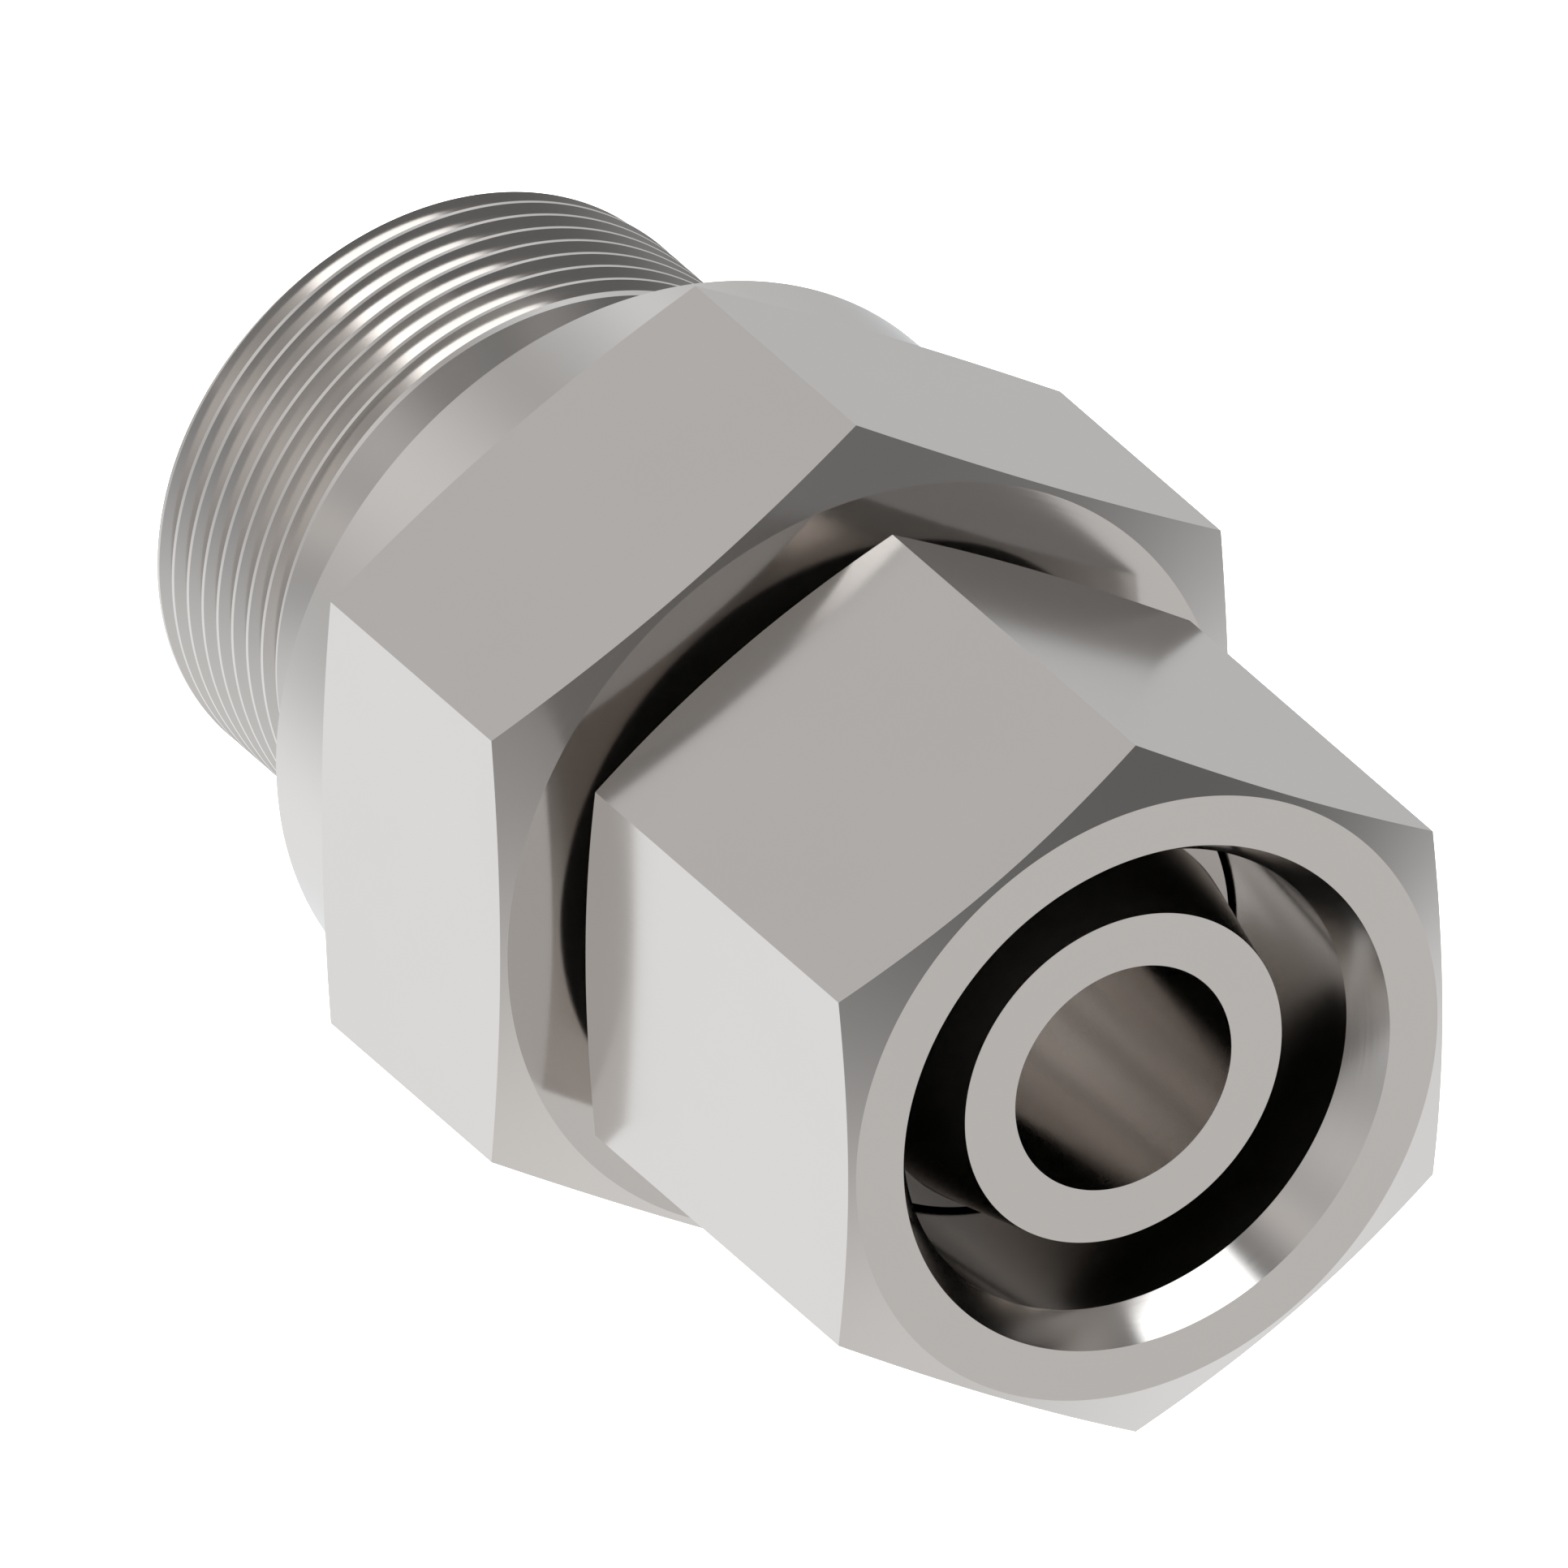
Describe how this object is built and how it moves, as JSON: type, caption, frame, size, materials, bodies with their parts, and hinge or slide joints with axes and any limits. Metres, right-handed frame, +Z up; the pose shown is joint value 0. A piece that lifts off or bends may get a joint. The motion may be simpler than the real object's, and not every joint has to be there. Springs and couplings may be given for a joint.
{
  "type": "tube fitting",
  "caption": "Straight tube fitting: a threaded port stud with a sealing collar and hexagon body, and a free-turning swivel nut over a coned nose.",
  "frame": {"origin": "on the fitting's axis, halfway between the nut's front face and the stud's end", "axes": "+X along the fitting's axis towards the nut's mouth, +Z up out of a wrench flat of the body hexagon, which lies on its opposite flat"},
  "size_m": [0.0466, 0.0312, 0.027],
  "materials": {
    "body_steel": "bright machined steel, fine turning marks",
    "nut_steel": "bright machined steel, fine turning marks",
    "seal_rubber": "black moulded elastomer, matt"
  },
  "bodies": {
    "fitting": {"body": "body_steel", "port_seal_ring": "seal_rubber"},
    "nut": {"swivel_nut": "nut_steel"}
  },
  "joints": [
    {"name": "nut_spin", "type": "hinge", "parent": "fitting", "child": "nut", "pos_m": [0.01475, 0, 0], "axis": [1, 0, 0], "continuous": true}
  ]
}
